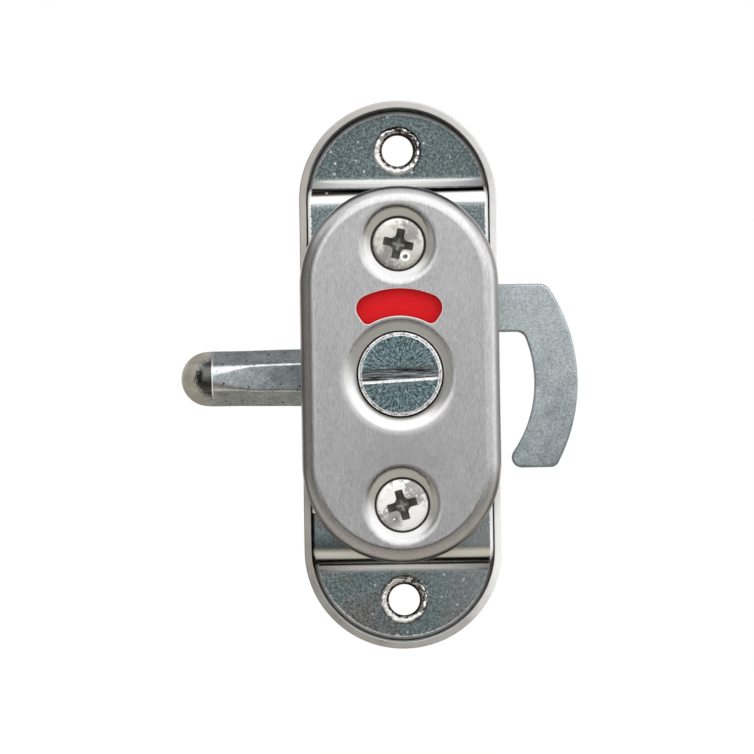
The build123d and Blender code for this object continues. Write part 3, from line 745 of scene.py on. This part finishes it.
def cross_outline(reach, width):
    """A cross recess seen from the front: four wings with rounded inner corners."""
    points = []
    half = width / 2
    centre = half * 2.2
    rounding = centre - half
    for quarter in range(4):
        turn = Matrix.Rotation(math.radians(90 * quarter), 2)
        corner = [(reach * 0.97, -half), (reach, -half * 0.6), (reach, half * 0.6), (reach * 0.97, half)]
        for step in range(5):
            angle = math.radians(270 - 22.5 * step)
            corner.append((centre + rounding * math.cos(angle), centre + rounding * math.sin(angle)))
        points += [turn @ Vector(point) for point in corner]
    return points


def cross_cutter(reach, width, top, depth):
    """A tapered cross recess, from above a screw's face down to its bottom."""
    outline = cross_outline(reach, width)
    # How much of the outline is left at each depth
    levels = [(1.0, -0.4 * MM), (1.0, 0), (0.72, 0.55 * depth), (0.4, 0.95 * depth), (0.16, depth)]
    mesh = bmesh.new()
    rings = [
        [mesh.verts.new((share * p.x, top + level, share * p.y)) for p in outline] for share, level in levels
    ]
    band_rings(mesh, rings)
    mesh.faces.new(rings[0])
    mesh.faces.new(rings[-1])
    return as_object("cutter", mesh)


def cut(piece, cutter):
    """Takes the cutter out of a piece, and the cutter out of the scene."""
    boolean = piece.modifiers.new("cut", "BOOLEAN")
    boolean.operation = "DIFFERENCE"
    boolean.object = cutter
    boolean.solver = "EXACT"
    applied(piece)
    bpy.data.objects.remove(cutter)


def applied(piece):
    """Replaces a piece's mesh by what its modifiers make of it."""
    bpy.context.view_layer.update()
    graph = bpy.context.evaluated_depsgraph_get()
    data = bpy.data.meshes.new_from_object(piece.evaluated_get(graph))
    piece.modifiers.clear()
    piece.data = data


def thread(name, radius, pitch, start, end, steps=32):
    """A helical thread about the Y axis."""
    root = radius - 0.6 * pitch
    rows_per_turn = 8
    rows = int((end - start) / pitch * rows_per_turn)
    mesh = bmesh.new()
    rings = []
    for row in range(rows + 1):
        depth = start + (end - start) * row / rows
        ring = []
        for i in range(steps):
            phase = (depth / pitch - i / steps) % 1
            height = 1 - abs(2 * phase - 1)
            fade = min(1.0, (depth - start) / pitch, (end - depth) / pitch)
            r = root + (radius - root) * height * fade
            angle = 2 * math.pi * i / steps
            ring.append(mesh.verts.new((r * math.cos(angle), depth, r * math.sin(angle))))
        rings.append(ring)
    band_rings(mesh, rings)
    mesh.faces.new(rings[0])
    mesh.faces.new(rings[-1])
    return as_object(name, mesh)


def joined(pieces):
    """Several pieces as one object."""
    mesh = bmesh.new()
    for piece in pieces:
        data = piece.data.copy()
        data.transform(piece.matrix_world)
        mesh.from_mesh(data)
        bpy.data.meshes.remove(data)
    name = pieces[0].name
    for piece in pieces:
        bpy.data.objects.remove(piece)
    return as_object(name, mesh)


def countersunk_screw(name, head, land, shank, top, end, turn, dimple=None, pitch=SCREW_PITCH):
    """A countersunk machine screw along +Y with a cross recess, its thread and maybe a dimple."""
    cone_end = top + land + head - shank
    neck = shank * 0.82
    profile = [(0, top)]
    profile += [(head * share, top + SCREW_CROWN * share * share) for share in (0.2, 0.4, 0.6, 0.75, 0.88)]
    profile += [
        (head * 0.95, top + 1.25 * SCREW_CROWN),
        (head * 0.985, top + 1.7 * SCREW_CROWN),
        (head, top + 2.4 * SCREW_CROWN),
        (head, top + land),
        (neck, cone_end),
        (neck, cone_end + pitch),
        (0, cone_end + pitch),
    ]
    body = lathe(name, profile)
    cross_reach, cross_width, cross_depth = 0.6 * head, 0.32 * head, 0.55 * head
    cut(body, cross_cutter(cross_reach, cross_width, top, cross_depth))
    if dimple:
        x, z = dimple
        # Millimetres of radius and of depth
        bowl = [(0, -0.2), (0.42, -0.2), (0.36, 0.10), (0.24, 0.26), (0, 0.34)]
        hole = lathe("hole", [(radius * MM, top + depth * MM) for radius, depth in bowl], 24)
        hole.data.transform(Matrix.Translation((x, 0, z)))
        cut(body, hole)
    # The recess and the dimple take the second material
    for face in body.data.polygons:
        centre, normal = face.center, face.normal
        outward = centre.x * normal.x + centre.z * normal.z
        sunk = centre.y > top + 1.2 * SCREW_CROWN and math.hypot(centre.x, centre.z) < 0.85 * head
        inward = outward < 0.2 * head and centre.y < cone_end + 0.1 * MM
        face.material_index = 1 if sunk and inward else 0
    shaft = thread(name + "_thread", shank, pitch, cone_end + 0.4 * pitch, end)
    screw = joined([body, shaft])
    screw.data.transform(Matrix.Rotation(turn, 4, "Y"))
    return screw


def ragged_lip(name, z, seed):
    """The drawn collar's flared lip, torn and beaded at its edge."""
    lip_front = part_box("base_plate")[1].y - BASE_SHEET - LIP_STAND
    steps = 160
    coarse_wave, fine_wave, tear_depth, bead_height = 0.16, 0.12, 0.45, 0.16
    # Millimetres beyond the bore, millimetres of depth, and how much of the raggedness each ring takes
    profile = [
        (-0.03, 1.00, 0.0),
        (-0.03, 0.62, 0.0),
        (0.04, 0.42, 0.1),
        (0.20, 0.24, 0.3),
        (0.45, 0.10, 0.6),
        (0.72, 0.00, 0.8),
        (0.95, -0.03, 1.0),
        (1.06, 0.02, 1.0),
        (1.14, 0.12, 1.0),
        (1.22, 0.34, 0.9),
        (1.30, 0.66, 0.5),
        (1.36, 0.82, 0.3),
    ]
    mesh = bmesh.new()
    rings = []
    for reach, depth, share in profile:
        ring = []
        for i in range(steps):
            angle = 2 * math.pi * i / steps
            place = Vector((math.cos(angle), math.sin(angle), seed))
            wave = noise.noise(place * 2.6) * coarse_wave + noise.noise(place * 8.0) * fine_wave
            tear = -tear_depth * max(0.0, noise.noise(place * 4.3 + Vector((5, 0, 0))) - 0.1)
            bead = noise.noise(place * 5.0 + Vector((0, 9, reach * 1.4)))
            r = MOUNT_BORE + (reach + share * (wave + tear)) * MM
            d = lip_front + (depth + share * bead_height * bead) * MM
            ring.append(mesh.verts.new((r * math.cos(angle), d, z + r * math.sin(angle))))
        rings.append(ring)
    band_rings(mesh, rings)
    return as_object(name, mesh)


def smooth(piece, angle=35):
    """Smooth shading that keeps edges sharper than the angle."""
    limit = math.radians(angle)
    mesh = bmesh.new()
    mesh.from_mesh(piece.data)
    for edge in mesh.edges:
        if len(edge.link_faces) == 2:
            edge.smooth = edge.calc_face_angle(0) < limit
    for face in mesh.faces:
        face.smooth = True
    mesh.to_mesh(piece.data)
    mesh.free()


def softened(piece, width, segments=3, angle=30):
    """Rounds the sharp edges of a piece, whose own mesh stays as it is."""
    seam_gap, flat_angle = 0.002 * MM, math.radians(0.3)
    weld = piece.modifiers.new("weld", "WELD")
    weld.merge_threshold = seam_gap
    flat = piece.modifiers.new("flat", "DECIMATE")
    flat.decimate_type = "DISSOLVE"
    flat.angle_limit = flat_angle
    bevel = piece.modifiers.new("bevel", "BEVEL")
    bevel.width = width
    bevel.segments = segments
    bevel.limit_method = "ANGLE"
    bevel.angle_limit = math.radians(angle)
    bevel.harden_normals = True
    bevel.use_clamp_overlap = True


def painted(piece, *made):
    """Gives a piece its materials. Its faces keep the slots that they have."""
    slots = [face.material_index for face in piece.data.polygons]
    piece.data.materials.clear()
    for each in made:
        piece.data.materials.append(each)
    piece.data.polygons.foreach_set("material_index", slots)


def paint_nodes(finishes):
    for node, made in finishes.items():
        painted(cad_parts[node], made)


def add_screws(nickel, dark):
    """The two plate screws, with the recess, dimple and thread that the plain ones lack."""
    low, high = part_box("plate_screws")
    looks = (("plate_screw_upper", 1, 13, DIMPLE_UPPER), ("plate_screw_lower", -1, -15, DIMPLE_LOWER))
    for name, side, turn, dimple in looks:
        spot = Matrix.Rotation(math.radians(turn), 2) @ Vector(dimple) * MM
        screw = countersunk_screw(
            name, SCREW_HEAD, SCREW_LAND, SCREW_SHANK, low.y, high.y, math.radians(turn), (spot.x, spot.y)
        )
        screw.data.transform(Matrix.Translation((0, 0, side * SCREW_Z)))
        smooth(screw)
        painted(screw, nickel, dark)
        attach(screw, "case")
    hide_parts("plate_screws")


def add_lever_screw(nickel, dark):
    """The lever's screw, drawn like the plate screws and turned round to face the room."""
    low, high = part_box("lever_screw")
    screw = countersunk_screw(
        "lever_screw_detailed",
        LEVER_SCREW_HEAD,
        LEVER_SCREW_LAND,
        LEVER_SCREW_SHANK,
        -high.y,
        -low.y,
        math.radians(20),
        pitch=LEVER_SCREW_PITCH,
    )
    screw.data.transform(Matrix.Rotation(math.pi, 4, "Z"))
    smooth(screw)
    painted(screw, nickel, dark)
    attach(screw, "rotor")
    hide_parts("lever_screw")


def held(share):
    """A share held between 0 and 1."""
    return min(1.0, max(0.0, share))


def lever_round(along):
    """The bar's plain radius at a distance from the hub: root, flare, bar, tapered nose and dome."""
    fall = math.tan(LEVER_TAPER)
    dome = (LEVER_RADIUS - LEVER_NOSE * fall) / (math.cos(LEVER_TAPER) - fall * (1 - math.sin(LEVER_TAPER)))
    dome_start = LEVER_REACH - dome * (1 - math.sin(LEVER_TAPER))
    nose = LEVER_REACH - LEVER_NOSE
    if along >= dome_start:
        return math.sqrt(max(0.0, dome ** 2 - (along - LEVER_REACH + dome) ** 2))
    if along >= nose:
        return LEVER_RADIUS - (along - nose) * fall
    start, end = LEVER_FLARE
    return LEVER_ROOT + (LEVER_RADIUS - LEVER_ROOT) * held((along - start) / (end - start))


def lever_surface(along, angle):
    """The bar's radius by angle from its door side: round, with the facet and a flat on each side of it."""
    plain = lever_round(along)
    nose = LEVER_REACH - LEVER_NOSE
    full, tip = LEVER_FACET_ENDS
    facet = LEVER_RADIUS - LEVER_FACET + LEVER_FACET * max(0.0, (along - full) / (tip - full))
    begun = held((along - LEVER_CUT) / LEVER_FLAT_START)
    faded = held((along - nose) / LEVER_NOSE)
    share = LEVER_FLAT / LEVER_RADIUS
    flat = plain * (1 + (share - 1) * begun * (1 - faded))
    # The higher the power, the sharper the edges between the flats and the round
    power = 60
    total = 1.0
    for turn, reach in ((0, facet), (LEVER_FLAT_TILT, flat), (-LEVER_FLAT_TILT, flat)):
        facing = math.cos(angle - turn)
        if facing > 0.1:
            total += (plain * facing / reach) ** power
    return plain * total ** (-1 / power)


def lever_bar(name, steps=288):
    """The bar's own mesh, from inside its root to its tip."""
    nose = LEVER_REACH - LEVER_NOSE
    rows, tip_rows = 40, 28
    stations = [LEVER_CUT + (nose - 0.05 * MM - LEVER_CUT) * i / rows for i in range(rows + 1)]
    stations += [nose + step * MM for step in (0.0, 0.05, 0.3, 0.55, 0.8)]
    reach = LEVER_REACH - stations[-1]
    turns = [math.radians(90 * i / tip_rows) for i in range(1, tip_rows)]
    stations += [LEVER_REACH - reach * (1 - math.sin(turn)) for turn in turns]
    mesh = bmesh.new()
    rings = []
    for along in stations:
        ring = []
        for i in range(steps):
            angle = 2 * math.pi * i / steps
            r = lever_surface(along, angle)
            ring.append(mesh.verts.new((-along, LEVER_AXIS - r * math.cos(angle), r * math.sin(angle))))
        rings.append(ring)
    rings.append([mesh.verts.new((-LEVER_REACH, LEVER_AXIS, 0))])
    band_rings(mesh, rings)
    mesh.faces.new(rings[0])
    return as_object(name, mesh)


def block(name, low, high):
    """A box between two corners."""
    mesh = bmesh.new()
    bmesh.ops.create_cube(mesh, size=1.0)
    middle, size = (low + high) / 2, high - low
    placed = Matrix.Translation(middle) @ Matrix.Diagonal((*size, 1))
    bmesh.ops.transform(mesh, matrix=placed, verts=mesh.verts)
    return as_object(name, mesh)


def add_lever(casting):
    """The lever with a flat above and below its facet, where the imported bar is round."""
    boss = bpy.data.objects.new("lever_boss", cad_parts["lever"].data.copy())
    bpy.context.scene.collection.objects.link(boss)
    low, high = (Vector(corner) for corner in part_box("lever"))
    margin = Vector((1, 1, 1)) * MM
    bar_room = block("bar_room", low - margin, Vector((-LEVER_CUT, high.y + margin.y, high.z + margin.z)))
    cut(boss, bar_room)
    smooth(boss, 30)
    softened(boss, 0.25 * MM)
    applied(boss)
    bar = lever_bar("lever_bar")
    smooth(bar, 60)
    for piece in (boss, bar):
        painted(piece, casting)
        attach(piece, "rotor")
    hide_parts("lever")


def add_lips(steel):
    for name, side, seed in (("collar_lip_upper", 1, 3.7), ("collar_lip_lower", -1, 8.2)):
        lip = ragged_lip(name, side * MOUNT_Z, seed)
        smooth(lip, 50)
        painted(lip, steel)
        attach(lip, "case")


def area_light(name, place, size, radiance):
    """A soft rectangular light that faces the part, as bright in a mirror as its radiance."""
    data = bpy.data.lights.new(name, "AREA")
    data.shape = "RECTANGLE"
    data.size, data.size_y = size
    data.energy = radiance * math.pi * size[0] * size[1]
    light = bpy.data.objects.new(name, data)
    light.location = place
    light.rotation_euler = (-Vector(place)).to_track_quat("-Z", "Y").to_euler()
    bpy.context.scene.collection.objects.link(light)


def sheet(name, width, height, level=0):
    """A flat rectangle across the Z axis."""
    x, y = width / 2, height / 2
    mesh = bmesh.new()
    mesh.faces.new([mesh.verts.new((*corner, level)) for corner in ((-x, -y), (x, -y), (x, y), (-x, y))])
    return as_object(name, mesh)


def card(name, place, size, lower, upper, turn=None):
    """A card that only reflections see, from one colour at its lower edge to another at its upper one.
    It faces the part unless it is given a turn."""
    width, height = size
    piece = sheet(name, width, height)
    piece.location = place
    piece.rotation_euler = turn or (-Vector(place)).to_track_quat("-Z", "Y").to_euler()
    made = bpy.data.materials.new(name)
    made.use_nodes = True
    tree = made.node_tree
    tree.nodes.clear()
    _, up, _ = object_point(tree)
    share = ranged(up, 0.0, 1.0, -height / 2, height / 2)
    glow = field(tree, "ShaderNodeEmission", 0, {"Color": blended(share, lower, upper)})
    add(tree, "ShaderNodeOutputMaterial", {"Surface": glow})
    painted(piece, made)
    piece.visible_camera = False
    piece.visible_diffuse = False
    piece.visible_shadow = False


def add_cards(level):
    """Darker surroundings for the metal: a small grey one in front, dark left, dim above and warm below."""
    lying = (0, 0, 0)
    card("front_card", (0, -1.3, 0), (0.40, 0.40), (0.37, 0.37, 0.37), (0.44, 0.44, 0.45))
    card("left_card", (-0.602, -0.669, 0), (0.52, 1.1), (0.10, 0.095, 0.09), (0.15, 0.15, 0.15))
    card("far_left_card", (-0.89, 0.10, 0), (1.30, 1.1), (0.24, 0.22, 0.20), (0.20, 0.19, 0.18))
    card("ceiling_card", (0.0, 0.54, 0.72), (1.8, 0.72), (0.28, 0.28, 0.28), (0.28, 0.28, 0.28))
    card("low_front_card", (0, -0.245, level), (0.8, 0.29), (0.10, 0.095, 0.09), (0.24, 0.22, 0.20), lying)
    card("low_card", (0, -0.04, level), (0.8, 0.12), (0.28, 0.26, 0.23), (0.72, 0.68, 0.60), lying)
    card("low_back_card", (0, 0.17, level), (0.8, 0.30), (0.32, 0.30, 0.27), (0.28, 0.26, 0.24), lying)


def background_rays(tree):
    """1 for the rays that show the background: the camera's, and those in metal and glass."""
    kinds = ("Is Camera Ray", "Is Glossy Ray", "Is Transmission Ray")
    return most(*(field(tree, "ShaderNodeLightPath", kind) for kind in kinds))


def add_stage():
    """A pale floor below the part, which glows only to the camera and in reflections, and the cards."""
    level = cad_box[0][2] - FLOOR_DROP
    floor = sheet("floor", FLOOR_SIZE, FLOOR_SIZE, level)
    made, tree, surface = material("floor_paper", PAPER, 0.0, 0.9)
    plain = surface.outputs[0]
    glow = field(tree, "ShaderNodeEmission", 0, {"Color": (*PAPER, 1), "Strength": FLOOR_GLOW})
    glowing = field(tree, "ShaderNodeAddShader", 0, {0: plain, 1: glow})
    paper = add(tree, "ShaderNodeMixShader", {0: background_rays(tree), 1: plain, 2: glowing})
    tree.links.new(paper.outputs[0], tree.nodes["Material Output"].inputs["Surface"])
    painted(floor, made)
    add_cards(level + CARD_LIFT)


def add_world():
    """White all round for the camera and in reflections, and a softer fill for the rest."""
    world = bpy.data.worlds.new("studio")
    bpy.context.scene.world = world
    world.use_nodes = True
    tree = world.node_tree
    tree.nodes.clear()
    strength = ranged(background_rays(tree), FILL, 1.0, 0.0, 1.0)
    background = field(tree, "ShaderNodeBackground", 0, {"Color": (1, 1, 1, 1), "Strength": strength})
    add(tree, "ShaderNodeOutputWorld", {"Surface": background})


def add_lights():
    """One soft light above in front, and a weaker one to the right."""
    area_light("top_softbox", (0.15, -0.62, 0.45), (1.1, 0.75), 1.0)
    area_light("right_softbox", (0.75, -0.25, 0.05), (0.4, 0.8), 0.6)


def add_camera():
    """The photo's view: nearly straight from the front, and turned a little."""
    data = bpy.data.cameras.new("camera")
    data.sensor_fit = "HORIZONTAL"
    data.sensor_width = SENSOR
    data.lens = SENSOR * VIEW_DISTANCE / VIEW_WIDTH
    data.clip_end = 10
    data.clip_start = 0.01
    camera = bpy.data.objects.new("camera", data)
    direction = Vector((math.sin(VIEW_FROM_RIGHT), -1, -math.sin(VIEW_FROM_BELOW))).normalized()
    camera.location = VIEW_AIM + direction * VIEW_DISTANCE
    look = (-direction).to_track_quat("-Z", "Y").to_matrix().to_4x4()
    camera.rotation_euler = (look @ Matrix.Rotation(-VIEW_ROLL, 4, "Z")).to_euler()
    bpy.context.scene.collection.objects.link(camera)
    bpy.context.scene.camera = camera


brushed = brushed_stainless()
satin = case_stainless()
zinc = zinc_plate()
matt_zinc = hook_zinc()
nickel = screw_nickel()
dark = recess_dark()
torn = lip_steel()
turned_face = turned_zinc()
casting = cast_nickel()
steel = plain_steel()
spring = spring_steel()
plastic = nylon()
red = film("red_film", (0.712, 0.015, 0.020), (0.695, 0.013, 0.018))
white = film("white_film", (0.86, 0.86, 0.84), (0.82, 0.82, 0.80))

paint_nodes(
    {
        "indicator_plate": brushed,
        "plate_screws": nickel,
        "release_spindle": turned_face,
        "indicator_disc": steel,
        "red_film": red,
        "white_film": white,
        "bowed_washer": spring,
        "spindle_clip": spring,
        "case_cover": satin,
        "base_plate": zinc,
        "hook": matt_zinc,
        "hub": steel,
        "rear_bush": plastic,
        "front_bush": plastic,
        "hook_washer": steel,
        "lever_washer": plastic,
        "detent_spring": spring,
        "spring_post": steel,
        "stop_pin": steel,
        "plate_nuts": steel,
        "lever": casting,
        "lever_screw": nickel,
    }
)

# How wide the softened edges are, in millimetres
soft_edges = (
    ("indicator_plate", 0.12),
    ("case_cover", 0.15),
    ("base_plate", 0.12),
    ("hook", 0.12),
    ("release_spindle", 0.15),
)
for node, width in soft_edges:
    softened(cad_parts[node], width * MM)

add_screws(nickel, dark)
add_lever_screw(nickel, dark)
add_lever(casting)
add_lips(torn)

add_stage()
add_world()
add_lights()
add_camera()

bpy.context.scene.view_settings.view_transform = "Standard"
